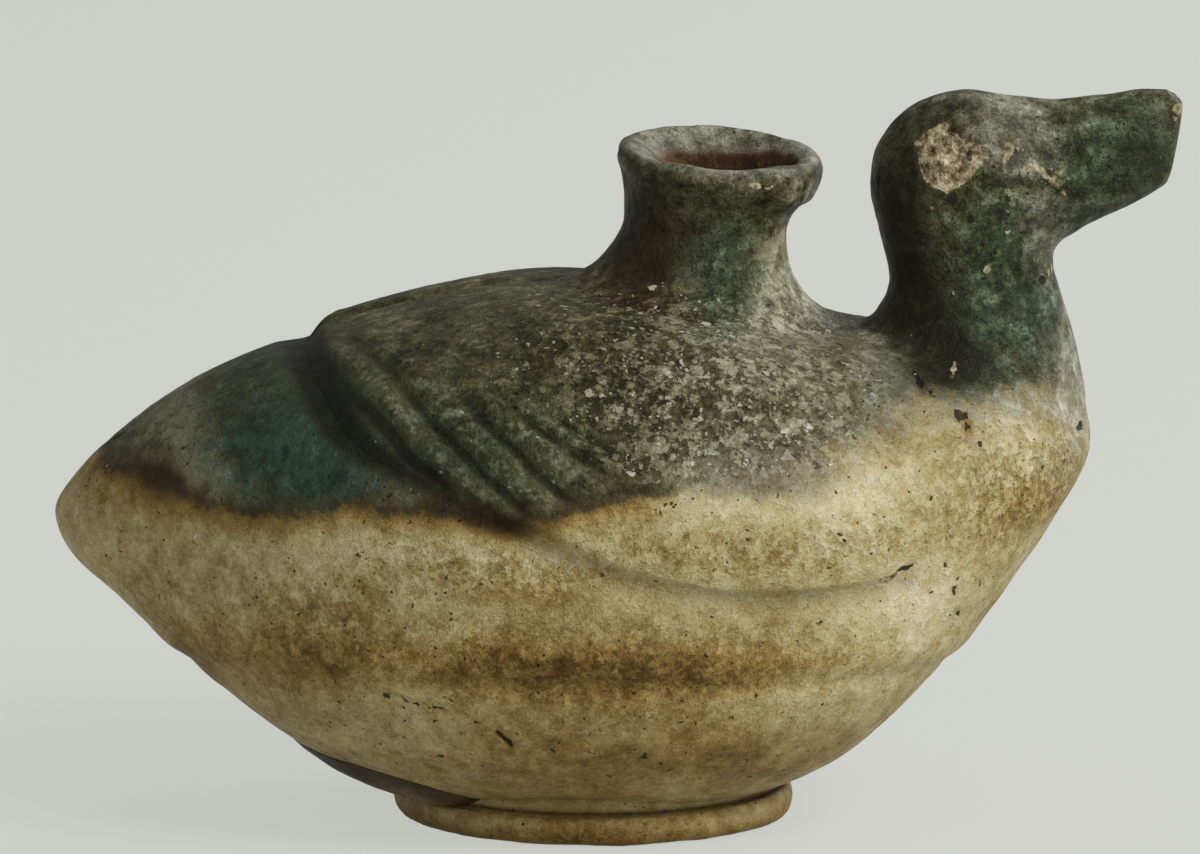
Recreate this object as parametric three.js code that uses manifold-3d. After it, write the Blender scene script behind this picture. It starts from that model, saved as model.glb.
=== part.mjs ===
// Duck-shaped askos: a small lead-glazed oil vessel built up from separately formed pieces of clay.
// Millimetres, +Z up, bill towards +X. The vessel stands on its foot ring at z = 0.
import * as THREE from "three";
import { mergeVertices } from "three/addons/utils/BufferGeometryUtils.js";
import Module from "manifold-3d";

const wasm = await Module();
wasm.setup();

// Driving dimensions of the body
const TAIL_X = -75.2;
const BREAST_X = 62.9;
const WALL = 4;
const GAP = 0.3;
const TINY = 1e-6; // keeps a section from closing to a point, where it would have no direction
const STATIONS = 12; // steps from tail to breast, closer together at the two round ends
const BACK = [40.5, 44.8, 51.6, 59, 64.2, 68.9, 72, 71.4, 66.7, 64, 61.4, 56.4, 51];
const BELLY = [40.5, 34.7, 29, 19.3, 9.6, 4.3, 3.2, 3.4, 8.4, 20.8, 34.7, 44.4, 51];
const HALF_WIDTH = [0, 6.4, 14.2, 23.6, 33, 39.6, 42, 41.2, 37.2, 30.1, 20.8, 10.4, 0];
const GIRTH = [40.5, 40.8, 41, 41.1, 40.7, 40.2, 39.8, 39.8, 42.3, 45.5, 47.8, 49.5, 51];
const FULL_ENDS = 2; // superellipse exponent: 2 is an ellipse
const FULL_BACK = 0.25; // what the middle sections add to it above the girth
const FULL_BELLY = 0.9; // and below the girth

// Foot, mouth and necks
const FOOT_X = -3.4;
const FOOT_RADIUS = 26.5;
const MOUTH_X = 11.2;
const MOUTH_RADIUS = 13.5;
const BORE_RADIUS = 8;
const THROAT_Z = 72.85; // joint between the duck's neck and its head
const BILL_ROOT = 8; // section number where the bill joins the head

const BODY_COLOUR = 0xa89a68;
const GLAZE_GREEN = 0x2f3f2c;
const MANTLE_GREY = 0x55533f;
const FOOT_OLIVE = 0x6a6137;

// Uniform Catmull-Rom value of a list at a real-valued position, straight at both ends.
function along(values, position) {
  const last = values.length - 1;
  const at = (i) => (i < 0 ? 2 * values[0] - values[1]
    : i > last ? 2 * values[last] - values[last - 1] : values[i]);
  const i = Math.min(Math.max(Math.floor(position), 0), last - 1);
  const f = position - i;
  const [a, b, c, d] = [at(i - 1), at(i), at(i + 1), at(i + 2)];
  return b + 0.5 * f * (c - a + f * (2 * a - 5 * b + 4 * c - d + f * (3 * (b - c) + d - a)));
}

// The stations are even steps of an angle that turns half round from tail to breast.
const MIDDLE_X = (TAIL_X + BREAST_X) / 2;
const HALF_LENGTH = (BREAST_X - TAIL_X) / 2;
function stationOf(x) {
  const cosine = THREE.MathUtils.clamp((MIDDLE_X - x) / HALF_LENGTH, -1, 1);
  return (STATIONS * Math.acos(cosine)) / Math.PI;
}
function xOf(station) {
  return MIDDLE_X - HALF_LENGTH * Math.cos((Math.PI * station) / STATIONS);
}

// One cross-section of the body: half width, girth height, and the height and exponent above or below.
function section(station, above) {
  const girth = along(GIRTH, station);
  const swell = Math.sin((Math.PI * station) / STATIONS);
  return {
    girth,
    width: Math.max(along(HALF_WIDTH, station), TINY),
    height: Math.max(above ? along(BACK, station) - girth : girth - along(BELLY, station), TINY),
    power: FULL_ENDS + swell * (above ? FULL_BACK : FULL_BELLY),
  };
}

// Point of the body where a ray at this angle from the girth's centre leaves the section.
function bodyPoint(x, angle) {
  const s = section(stationOf(x), Math.sin(angle) >= 0);
  const c = Math.abs(Math.cos(angle)) / s.width;
  const d = Math.abs(Math.sin(angle)) / s.height;
  const reach = (c ** s.power + d ** s.power) ** (-1 / s.power);
  return new THREE.Vector3(x, reach * Math.cos(angle), s.girth + reach * Math.sin(angle));
}

// Height of the back, or of the belly, over the point (x, y).
function bodyHeight(x, y, above) {
  const s = section(stationOf(x), above);
  const side = Math.min(Math.abs(y) / s.width, 1) ** s.power;
  const rise = s.height * (1 - side) ** (1 / s.power);
  return s.girth + (above ? rise : -rise);
}

// Closed geometry from points and triangles, turned to face outwards if it came out inside out.
function closedGeometry(points, faces) {
  const geometry = new THREE.BufferGeometry().setFromPoints(points);
  let volume = 0;
  const cross = new THREE.Vector3();
  for (let i = 0; i < faces.length; i += 3) {
    volume += points[faces[i]].dot(cross.crossVectors(points[faces[i + 1]], points[faces[i + 2]]));
  }
  geometry.setIndex(volume < 0 ? faces.reverse() : faces);
  return geometry;
}

// Rings of equal count joined in order. Each end is closed to its centre, or the last ring meets the first.
function ringsGeometry(rings, endless = false) {
  const count = rings[0].length;
  const points = rings.flat();
  const faces = [];
  const joints = endless ? rings.length : rings.length - 1;
  for (let r = 0; r < joints; r++) {
    const low = r * count;
    const high = ((r + 1) % rings.length) * count;
    for (let i = 0; i < count; i++) {
      const j = (i + 1) % count;
      faces.push(low + i, low + j, high + j, low + i, high + j, high + i);
    }
  }
  if (!endless) {
    for (const [ring, first] of [[rings[0], 0], [rings.at(-1), (rings.length - 1) * count]]) {
      const centre = points.length;
      points.push(ring.reduce((sum, p) => sum.add(p), new THREE.Vector3()).divideScalar(count));
      for (let i = 0; i < count; i++) {
        const j = (i + 1) % count;
        if (first === 0) faces.push(centre, first + j, first + i);
        else faces.push(centre, first + i, first + j);
      }
    }
  }
  return closedGeometry(points, faces);
}

// Plate between an upper and a lower grid of points, with its four rims closed.
function plateGeometry(upper, lower) {
  const rings = upper.map((row, i) => [...row, ...[...lower[i]].reverse()]);
  const half = upper[0].length;
  const count = 2 * half;
  const points = rings.flat();
  const faces = [];
  for (let r = 0; r + 1 < rings.length; r++) {
    for (let i = 0; i < count; i++) {
      const j = (i + 1) % count;
      const [low, high] = [r * count, (r + 1) * count];
      faces.push(low + i, low + j, high + j, low + i, high + j, high + i);
    }
  }
  for (let i = 0; i + 1 < half; i++) {
    const [a, b, c, d] = [i, i + 1, count - 2 - i, count - 1 - i];
    faces.push(a, c, b, a, d, c);
    const far = (rings.length - 1) * count;
    faces.push(far + a, far + b, far + c, far + a, far + c, far + d);
  }
  return closedGeometry(points, faces);
}

// Solid for joining and cutting, and back to a geometry.
function solidOf(geometry) {
  const bare = geometry.clone();
  bare.deleteAttribute("normal");
  bare.deleteAttribute("uv");
  const merged = mergeVertices(bare, 1e-4);
  return new wasm.Manifold(new wasm.Mesh({
    numProp: 3,
    vertProperties: new Float32Array(merged.attributes.position.array),
    triVerts: new Uint32Array(merged.index.array),
  }));
}
function geometryOf(solid) {
  const mesh = solid.getMesh();
  return new THREE.BufferGeometry()
    .setAttribute("position", new THREE.BufferAttribute(mesh.vertProperties, 3))
    .setIndex(new THREE.BufferAttribute(mesh.triVerts, 1));
}

const askos = new THREE.Group();
function addPiece(name, geometry, color, roughness) {
  const mesh = new THREE.Mesh(geometry, new THREE.MeshStandardMaterial({ color, roughness, metalness: 0 }));
  mesh.name = name;
  askos.add(mesh);
}

// Whole body form, grown or shrunk about its own middle by a distance on each axis.
const MIDDLE_Z = 37;
const BODY_MIDDLE = new THREE.Vector3(MIDDLE_X, 0, MIDDLE_Z);
function bodyForm(stations, sides, grow, shift = 0) {
  const rings = [];
  for (let i = 1; i < stations; i++) {
    const x = xOf((STATIONS * i) / stations);
    rings.push(Array.from({ length: sides }, (_, k) => bodyPoint(x, (2 * Math.PI * k) / sides)));
  }
  const geometry = ringsGeometry([
    rings[0].map(() => new THREE.Vector3(TAIL_X, 0, BACK[0])), ...rings,
    rings[0].map(() => new THREE.Vector3(BREAST_X, 0, BACK[STATIONS])),
  ]);
  const size = new THREE.Vector3(HALF_LENGTH, Math.max(...HALF_WIDTH), Math.max(...BACK) / 2);
  geometry.translate(-BODY_MIDDLE.x, 0, -BODY_MIDDLE.z);
  geometry.scale(...["x", "y", "z"].map((axis) => 1 + grow[axis] / size[axis]));
  geometry.translate(BODY_MIDDLE.x + shift, 0, BODY_MIDDLE.z);
  return solidOf(geometry);
}

// The joint between bowl and upper body arches up at the flanks: a curve in side view, cut straight through.
const JOINT_MIDDLE_Z = 24;
const JOINT_END_Z = 18;
const JOINT_REACH = 90;
const JOINT_STEPS = 12;
const DEPTH = 120; // longer than the vessel is wide or high, for cutting right through it
function blockBelowJoint(lift) {
  const outline = new THREE.Shape();
  outline.moveTo(-JOINT_REACH, JOINT_END_Z + lift);
  outline.quadraticCurveTo(0, 2 * JOINT_MIDDLE_Z - JOINT_END_Z + lift, JOINT_REACH, JOINT_END_Z + lift);
  outline.lineTo(JOINT_REACH, -DEPTH);
  outline.lineTo(-JOINT_REACH, -DEPTH);
  outline.closePath();
  const sweep = { depth: DEPTH, bevelEnabled: false, curveSegments: JOINT_STEPS };
  const block = new THREE.ExtrudeGeometry(outline, sweep);
  block.rotateX(Math.PI / 2);
  block.translate(0, DEPTH / 2, 0);
  return solidOf(block);
}

// Hollow body: outer form less a cavity that leaves one wall all round and a thick tail.
const TAIL_CLAY = 9;
const BREAST_CLAY = 7;
const OUTSIDE_STATIONS = 30;
const OUTSIDE_SIDES = 44;
const CAVITY_STATIONS = 18;
const CAVITY_SIDES = 28;
const bodyOuter = bodyForm(OUTSIDE_STATIONS, OUTSIDE_SIDES, new THREE.Vector3());
const cavityShrink = new THREE.Vector3(-(TAIL_CLAY + BREAST_CLAY) / 2, -WALL, -WALL);
const cavityShift = (TAIL_CLAY - BREAST_CLAY) / 2;
const cavity = bodyForm(CAVITY_STATIONS, CAVITY_SIDES, cavityShrink, cavityShift);
const shell = bodyOuter.subtract(cavity);
const HOLE_SIDES = 28;
const mouthHole = solidOf(new THREE.CylinderGeometry(BORE_RADIUS, BORE_RADIUS, DEPTH / 2, HOLE_SIDES)
  .rotateX(Math.PI / 2).translate(MOUTH_X, 0, BODY_MIDDLE.z + DEPTH / 4));

// Sections of the duck's neck, head and bill: front and rear point in side view, and half width.
// Up the neck they lie flat, over the throat they turn like a fan, and along the bill they stand upright.
const HEAD_SECTIONS = [
  [57.9, 73, 35.8, 73, 9.6],
  [57.8, 75.2, 34.5, 78.5, 9.5],
  [58.2, 76.2, 33.4, 84, 9.9],
  [58.7, 76.8, 34.3, 90, 10],
  [59.2, 77.2, 38.3, 94.8, 9.6],
  [59.9, 77.6, 45.2, 97.2, 8.9],
  [60.8, 78.1, 52.3, 96.5, 7.8],
  [62.2, 79, 58.2, 95.8, 6.9],
  [65, 80.4, 64.1, 96.3, 6.2],
  [69, 82.4, 69.5, 97.3, 5.7],
  [71.8, 84.2, 74.1, 97.4, 5.2],
];
const HEAD_SIDES = 28;
const LEAST_ARM = 0.5; // a section never shrinks to less than this half size
function headRing(position, inset = 0) {
  const [fx, fz, rx, rz, width] = [0, 1, 2, 3, 4].map((k) => along(HEAD_SECTIONS.map((s) => s[k]), position));
  const centre = new THREE.Vector2(fx + rx, fz + rz).divideScalar(2);
  const arm = new THREE.Vector2(rx - fx, rz - fz).divideScalar(2);
  arm.setLength(Math.max(arm.length() - inset, LEAST_ARM));
  return Array.from({ length: HEAD_SIDES }, (_, i) => {
    const turn = (2 * Math.PI * i) / HEAD_SIDES;
    return new THREE.Vector3(
      centre.x + arm.x * Math.cos(turn),
      Math.max(width - inset, LEAST_ARM) * Math.sin(turn),
      centre.y + arm.y * Math.cos(turn),
    );
  });
}

// Oval ring of points between a front and a rear x. A draped ring also follows the slope of the body.
function ovalRing([front, rear, width, z, drape], sides, base, above = true) {
  return Array.from({ length: sides }, (_, i) => {
    const turn = (2 * Math.PI * i) / sides;
    const x = (front + rear) / 2 + ((front - rear) / 2) * Math.cos(turn);
    const y = width * Math.sin(turn);
    return new THREE.Vector3(x, y, z + drape * (bodyHeight(x, y, above) - base));
  });
}
function roundRing(x, [radius, z, drape], sides, base, above) {
  return ovalRing([x + radius, x - radius, radius, z, drape], sides, base, above);
}

// Foot ring: turned ring with a flat underside and a slack shoulder, its top hollowed to the belly.
const FOOT_SIDES = 40;
const belly = bodyHeight(FOOT_X, 0, false);
const FOOT_PROFILE = [
  [20.5, 0, 0], [25.2, 0, 0], [26.2, 0.6, 0], [FOOT_RADIUS, 1.8, 0], [26.3, 3.4, 0], [25, 3.9, 0],
  [23, belly - GAP, 1], [19, belly - GAP, 1], [19.6, 1.2, 0],
];
addPiece("ring_foot", ringsGeometry(
  FOOT_PROFILE.map((row) => roundRing(FOOT_X, row, FOOT_SIDES, belly, false)), true), FOOT_OLIVE, 0.6);

// Pad of clay smeared from the foot up the belly at the rear, thickest beside the foot.
const PAD_REACH = 14;
const PAD_MIDDLE = Math.PI * 1.05;
const PAD_HALF_ANGLE = 0.75;
const PAD_THICKNESS = 1.7;
const PAD_EDGE = 0.5;
const PAD_BLUNTNESS = 1.05; // above 1, so that the pad keeps a short edge at its two ends
const PAD_STEPS = 8;
const padRows = Array.from({ length: PAD_STEPS + 1 }, (_, i) => {
  const out = i / PAD_STEPS;
  return Array.from({ length: 2 * PAD_STEPS + 1 }, (_, k) => {
    const across = k / PAD_STEPS - 1;
    const radius = FOOT_RADIUS + GAP + PAD_REACH * out * Math.sqrt(PAD_BLUNTNESS - across * across);
    const turn = PAD_MIDDLE + PAD_HALF_ANGLE * across;
    const x = FOOT_X + radius * Math.cos(turn);
    const y = radius * Math.sin(turn);
    const thickness = PAD_EDGE + PAD_THICKNESS * (1 - out * out) * (1 - across * across);
    const top = bodyHeight(x, y, false) - GAP;
    return [new THREE.Vector3(x, y, top), new THREE.Vector3(x, y, top - thickness)];
  });
});
addPiece("foot_clay_pad", plateGeometry(
  padRows.map((row) => row.map((pair) => pair[0])),
  padRows.map((row) => row.map((pair) => pair[1]))), FOOT_OLIVE, 0.7);

// Filling neck: waisted tube with a thick lip, a dished mouth, and a root that spreads over the back.
// Rows run up the outside, over the lip, down the bore and back under the root: radius, height, drape,
// how far the row stands forward, and its rise per millimetre forward and to the left.
const NECK_SIDES = 32;
const mouthBase = bodyHeight(MOUTH_X, 0, true);
const NECK_PROFILE = [
  [17.4, mouthBase + 1.3, 1, 0, 0, 0], [14.6, mouthBase + 2, 1, 0, 0, 0], [12.6, mouthBase + 3.4, 1, 0, 0, 0],
  [11.4, mouthBase + 5.4, 0.8, 0, 0, 0], [10.8, 79.6, 0.3, 0.3, 0, 0], [11.5, 82.9, 0, 1.1, -0.12, 0],
  [12.6, 84.6, 0, 2, -0.13, 0], [MOUTH_RADIUS, 87, 0, 2.2, -0.08, 0.05], [13.3, 88.6, 0, 2.2, -0.07, 0.09],
  [12.6, 89.3, 0, 2.2, -0.07, 0.11], [11.5, 89.1, 0, 2.5, -0.06, 0.09], [10.5, 88.5, 0, 2.9, -0.04, 0.05],
  [9.6, 87.7, 0, 3.2, 0, 0], [9, 86, 0, 2.6, 0, 0], [8.3, 80, 0, 0.8, 0, 0],
  [BORE_RADIUS, mouthBase + GAP, 1, 0, 0, 0], [12.5, mouthBase + GAP, 1, 0, 0, 0],
  [17, mouthBase + GAP, 1, 0, 0, 0],
];
const neckRings = NECK_PROFILE.map((row) => {
  const [, , , forward, riseForward, riseLeft] = row;
  const ring = roundRing(MOUTH_X + forward, row, NECK_SIDES, mouthBase);
  ring.forEach((p) => { p.z += riseForward * (p.x - MOUTH_X - forward) + riseLeft * p.y; });
  return ring;
});
addPiece("filling_neck", ringsGeometry(neckRings, true), GLAZE_GREEN, 0.55);

// Duck's neck: hollow oval tube whose root spreads over the shoulders and runs into the breast.
const DUCK_NECK_X = 46;
const duckBase = bodyHeight(DUCK_NECK_X, 0, true);
const DUCK_BORE = [54.6, 38.6, 6.5]; // front, rear and half width where the neck opens into the body
const DUCK_ROOT = [61.8, 31.2, 16.5, duckBase + 1.3, 1];
const DUCK_NECK_ROWS = [
  DUCK_ROOT, [61.9, 32.5, 14.2, duckBase + 2.3, 0.95], [60.6, 34.5, 12.1, 67, 0.55],
  [59, 35.7, 10.6, 70.1, 0.15], [57.9, 35.8, 9.7, THROAT_Z - GAP / 2, 0],
  [53.9, 40.1, 5.7, THROAT_Z - GAP / 2, 0], [54.4, 39, 6.2, duckBase + 2.5, 0.5],
  [...DUCK_BORE, duckBase + GAP, 1], [57.5, 34.5, 11.5, duckBase + GAP, 1],
  [61.2, 31.6, 16.1, duckBase + 2 * GAP, 1],
];
addPiece("duck_neck", ringsGeometry(
  DUCK_NECK_ROWS.map((row) => ovalRing(row, HEAD_SIDES, duckBase)), true), GLAZE_GREEN, 0.45);

// Head: the pocket that the neck opens into, then the outside from the throat to the root of the bill.
const HEAD_WALL = 4;
const POCKET_ROWS = [[3.1, 8.6], [2.9, 7], [2.2, 5], [1, HEAD_WALL], [0, HEAD_WALL]];
const HEAD_STEP = 0.5;
const headRings = POCKET_ROWS.map(([position, inset]) => headRing(position, inset));
for (let k = 0; k < BILL_ROOT; k += HEAD_STEP) headRings.push(headRing(k));
const SECTION_GAP = 0.07; // share of a section that leaves the clay gap at the root of the bill
headRings.push(headRing(BILL_ROOT - SECTION_GAP));
addPiece("duck_head", ringsGeometry(headRings), GLAZE_GREEN, 0.45);

// Bill: flattened sides, blunt slanting end with a rounded edge.
const BILL_END = HEAD_SECTIONS.length - 1;
const BILL_EDGE = [[0.4, 0.4], [1.4, 0.7], [3.2, 0.9]]; // rounded end: how far in and how far forward
const billRings = [];
for (let k = BILL_ROOT; k <= BILL_END; k += HEAD_STEP) billRings.push(headRing(k));
const [endFrontX, endFrontZ, endTopX, endTopZ] = HEAD_SECTIONS[BILL_END];
const outward = new THREE.Vector3(endTopZ - endFrontZ, 0, endFrontX - endTopX).normalize();
for (const [inset, forward] of BILL_EDGE) {
  billRings.push(headRing(BILL_END, inset).map((p) => p.addScaledVector(outward, forward)));
}
addPiece("bill", ringsGeometry(billRings), GLAZE_GREEN, 0.45);

// Bowl and upper body: the hollow shell parted along the joint, the upper half opened under both necks.
addPiece("lower_bowl", geometryOf(shell.intersect(blockBelowJoint(-GAP / 2))), BODY_COLOUR, 0.6);
const duckHole = solidOf(ringsGeometry([-BORE_RADIUS, DEPTH / 4].map((rise) => ovalRing(
  [...DUCK_BORE, duckBase + rise, 0], HOLE_SIDES, duckBase))));
addPiece("upper_body", geometryOf(
  shell.subtract(blockBelowJoint(GAP / 2)).subtract(mouthHole).subtract(duckHole)), BODY_COLOUR, 0.6);

// Wings: plates on the back with combed ridges that follow the free rear edge.
// Both edges are points of the body: x, and the angle from the girth up to the middle of the back.
const WING_REAR_X = [-40, -39.8, -39.2, -38, -35.5, -29.2, -14, -2.5, 13.5, 28, 38];
const WING_REAR_ANGLE = [89.4, 70, 52, 38, 27, 18.5, 7, 0, -5.5, -9.5, -13];
const WING_FRONT_X = [18, 22, 27, 32, 35.5, 38.5, 40.3, 41.2, 41.6, 41.2, 40];
const WING_FRONT_ANGLE = [89.4, 76, 62, 49, 37, 25, 13, 4, -2.5, -7.5, -11.5];
const WING_COLUMNS = 18;
const WING_ROWS = 32;
const WING_RIDGES = 8;
const WING_THICKNESS = 1.5;
const SHOULDER_THICKNESS = 0.7;
const RIDGE_HEIGHT = 0.7;
const RIDGE_FADE = 0.35; // the ridges die out over this share of the edge towards spine and breast
function bodyNormal(x, angle) {
  const step = 0.01;
  const ahead = bodyPoint(x + step, angle).sub(bodyPoint(x - step, angle));
  const around = bodyPoint(x, angle + step).sub(bodyPoint(x, angle - step));
  return around.cross(ahead).normalize();
}
function wingPoint(s, q, lift, side) {
  const x = THREE.MathUtils.lerp(along(WING_REAR_X, s), along(WING_FRONT_X, s), q);
  const degrees = THREE.MathUtils.lerp(along(WING_REAR_ANGLE, s), along(WING_FRONT_ANGLE, s), q);
  const angle = THREE.MathUtils.degToRad(degrees);
  const point = bodyPoint(x, angle).addScaledVector(bodyNormal(x, angle), lift);
  point.y *= side;
  return point;
}
function wingSolid(side) {
  const grid = (liftOf) => Array.from({ length: WING_ROWS + 1 }, (_, row) => (
    Array.from({ length: WING_COLUMNS + 1 }, (_, column) => {
      const s = column / WING_COLUMNS;
      return wingPoint(s * (WING_REAR_X.length - 1), row / WING_ROWS, liftOf(s, row), side);
    })));
  const thickness = (s, row) => {
    const fade = THREE.MathUtils.smoothstep(1 - s, RIDGE_FADE / 2, RIDGE_FADE * 1.5)
      * THREE.MathUtils.smoothstep(s, 0, RIDGE_FADE);
    const ridge = row > 0 && row <= 2 * WING_RIDGES ? (row % 2 ? -1 : 1) * (RIDGE_HEIGHT / 2) * fade : 0;
    return THREE.MathUtils.lerp(WING_THICKNESS, SHOULDER_THICKNESS, (row / WING_ROWS) ** 3) + ridge;
  };
  const plate = plateGeometry(grid((s, row) => GAP + thickness(s, row)), grid(() => GAP));
  return solidOf(plate).subtract(mouthRootCutter).subtract(duckRootCutter);
}
function rootCutter([front, rear, width], sides) {
  const rows = [0, DEPTH].map((z) => [front + GAP, rear - GAP, width + GAP, z, 0]);
  return solidOf(ringsGeometry(rows.map((row) => ovalRing(row, sides, 0))));
}
const mouthRoot = NECK_PROFILE[0][0];
const mouthRootCutter = rootCutter([MOUTH_X + mouthRoot, MOUTH_X - mouthRoot, mouthRoot], NECK_SIDES);
const duckRootCutter = rootCutter(DUCK_ROOT, HEAD_SIDES);
addPiece("right_wing", geometryOf(wingSolid(-1)), MANTLE_GREY, 0.6);
addPiece("left_wing", geometryOf(wingSolid(1)), MANTLE_GREY, 0.6);

export default askos;
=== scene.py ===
from functools import partialmethod

import bpy
import numpy as np
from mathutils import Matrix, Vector


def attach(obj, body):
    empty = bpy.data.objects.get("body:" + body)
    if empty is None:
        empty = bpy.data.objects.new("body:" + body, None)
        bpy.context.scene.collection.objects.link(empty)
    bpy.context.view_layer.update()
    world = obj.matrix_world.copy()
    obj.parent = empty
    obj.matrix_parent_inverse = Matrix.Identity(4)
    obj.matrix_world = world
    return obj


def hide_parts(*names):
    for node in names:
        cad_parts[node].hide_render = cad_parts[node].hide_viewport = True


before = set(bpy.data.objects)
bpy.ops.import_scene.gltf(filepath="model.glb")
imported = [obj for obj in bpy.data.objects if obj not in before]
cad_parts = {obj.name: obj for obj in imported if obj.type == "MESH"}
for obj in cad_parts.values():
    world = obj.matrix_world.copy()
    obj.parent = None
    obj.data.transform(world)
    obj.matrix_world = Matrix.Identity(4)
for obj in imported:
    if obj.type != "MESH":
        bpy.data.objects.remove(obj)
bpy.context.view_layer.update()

# Lower bowl: the belly of the vessel, shaped as a bowl with a wall of about 4 mm.
# Lead-glazed earthenware. Its rim was luted to the upper body with slip and the joint wiped smooth by hand.
MM = 0.001
TAIL_X = -75.2
BREAST_X = 62.9
STATIONS = 12  # steps from tail to breast, closer together at the two round ends
BACK = [40.5, 44.8, 51.6, 59, 64.2, 68.9, 72, 71.4, 66.7, 64, 61.4, 56.4, 51]
BELLY = [40.5, 34.7, 29, 19.3, 9.6, 4.3, 3.2, 3.4, 8.4, 20.8, 34.7, 44.4, 51]
HALF_WIDTH = [0, 6.4, 14.2, 23.6, 33, 39.6, 42, 41.2, 37.2, 30.1, 20.8, 10.4, 0]
GIRTH = [40.5, 40.8, 41, 41.1, 40.7, 40.2, 39.8, 39.8, 42.3, 45.5, 47.8, 49.5, 51]
FULL_ENDS = 2
FULL_BACK = 0.25
FULL_BELLY = 0.9
MIDDLE_X = (TAIL_X + BREAST_X) / 2
HALF_LENGTH = (BREAST_X - TAIL_X) / 2
POLE_REACH = 0.02  # stations this near an end count as the pole
TINY = 1e-6
WELD = 1e-4


def along(values, position):
    """Catmull-Rom value of a list at real-valued positions, straight at both ends."""
    values = np.asarray(values, float)
    padded = np.concatenate([[2 * values[0] - values[1]], values, [2 * values[-1] - values[-2]]])
    first = np.clip(np.floor(position).astype(int), 0, len(values) - 2)
    f = position - first
    a, b, c, d = (padded[first + k] for k in range(4))
    return b + 0.5 * f * (c - a + f * (2 * a - 5 * b + 4 * c - d + f * (3 * (b - c) + d - a)))


def station_of(x):
    """Stations are even steps of an angle that turns half round from tail to breast."""
    return STATIONS * np.arccos(np.clip((MIDDLE_X - x) / HALF_LENGTH, -1, 1)) / np.pi


def section(station, above):
    """Girth height, half width, height from the girth, and superellipse exponent of a section."""
    girth = along(GIRTH, station)
    height = np.where(above, along(BACK, station) - girth, girth - along(BELLY, station))
    swell = np.sin(np.pi * station / STATIONS)
    power = FULL_ENDS + swell * np.where(above, FULL_BACK, FULL_BELLY)
    return girth, np.maximum(along(HALF_WIDTH, station), TINY), np.maximum(height, TINY), power


def body_point(station, angle):
    """Point where a ray from the girth's centre leaves the section: one over its superellipse norm."""
    girth, width, height, power = section(station, np.sin(angle) >= 0)
    across = np.abs(np.cos(angle)) / width
    upward = np.abs(np.sin(angle)) / height
    reach = (across ** power + upward ** power) ** (-1 / power)
    x = MIDDLE_X - HALF_LENGTH * np.cos(np.pi * station / STATIONS)
    return np.stack([x + 0 * reach, reach * np.cos(angle), girth + reach * np.sin(angle)], -1)


def body_normal(station, angle, step=1e-3):
    """Outward normal: cross product of the slopes round the section and along the body."""
    around = body_point(station, angle + step) - body_point(station, angle - step)
    ahead = body_point(station + step, angle) - body_point(station - step, angle)
    normal = np.cross(around, ahead)
    length = np.linalg.norm(normal, axis=-1, keepdims=True)
    tip = np.sign(station + 0 * angle - STATIONS / 2)[..., None] * [1, 0, 0]
    pole = (station < POLE_REACH) | (station > STATIONS - POLE_REACH)
    return np.where(pole[..., None], tip, normal / np.maximum(length, TINY ** 2))


def body_height(x, y, above):
    """Height of the back or of the belly over a point: the superellipse solved for z."""
    girth, width, height, power = section(station_of(x), above)
    rise = height * (1 - np.minimum(np.abs(y) / width, 1) ** power) ** (1 / power)
    return girth + np.where(above, rise, -rise)


SEED = 11
LATTICE_SIZE = 40
LATTICE_START = 0.37 * LATTICE_SIZE
LATTICE = np.random.default_rng(SEED).uniform(-1, 1, (LATTICE_SIZE,) * 3)


def noise(points, cell):
    """Smooth noise: random heights at the corners of cubic cells of this size, blended by S curves."""
    place = points / cell + LATTICE_START
    low = np.floor(place).astype(int)
    part = place - low
    part = part * part * (3 - 2 * part)
    total = 0
    for corner in np.ndindex(2, 2, 2):
        weight = np.prod(np.where(corner, part, 1 - part), axis=-1)
        total = total + weight * LATTICE[tuple(np.moveaxis((low + corner) % LATTICE_SIZE, -1, 0))]
    return total


def ease(low, high, value):
    """0 below low, 1 above high, and an S curve between them."""
    t = np.clip((value - low) / (high - low), 0, 1)
    return t * t * (3 - 2 * t)


def bell(value, middle, width):
    """1 at the middle, falling off to both sides as a bell curve of this width."""
    return np.exp(-((value - middle) / width) ** 2)


HAND_MARKS = [(0.28, 15), (0.12, 6), (0.06, 2.6), (0.035, 1.1)]  # height and size of the unevenness
DENT_DEPTH = 0.22
DENT_SIZE = 1.9
DENT_SPACING = 9


def hand_relief(points):
    """Unevenness of hand-worked, pitted clay: four sizes of noise, and scattered dents in patches."""
    uneven = sum(height * noise(points, size) for height, size in HAND_MARKS)
    dents = ease(0.52, 0.8, -noise(points + 50, DENT_SIZE))
    return uneven - DENT_DEPTH * dents * ease(-0.1, 0.5, noise(points + 20, DENT_SPACING))


WING_EDGE_X = [-42.2, -41.8, -40.5, -38.4, -35.5, -29.2, -14, -2.5, 13.5, 28, 38]
WING_EDGE_ANGLE = [89.4, 70, 52, 38, 27, 18.5, 7, 0, -5.5, -9.5, -13]
EDGE_POINTS = 160
POINTS_AT_A_TIME = 4000


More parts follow.
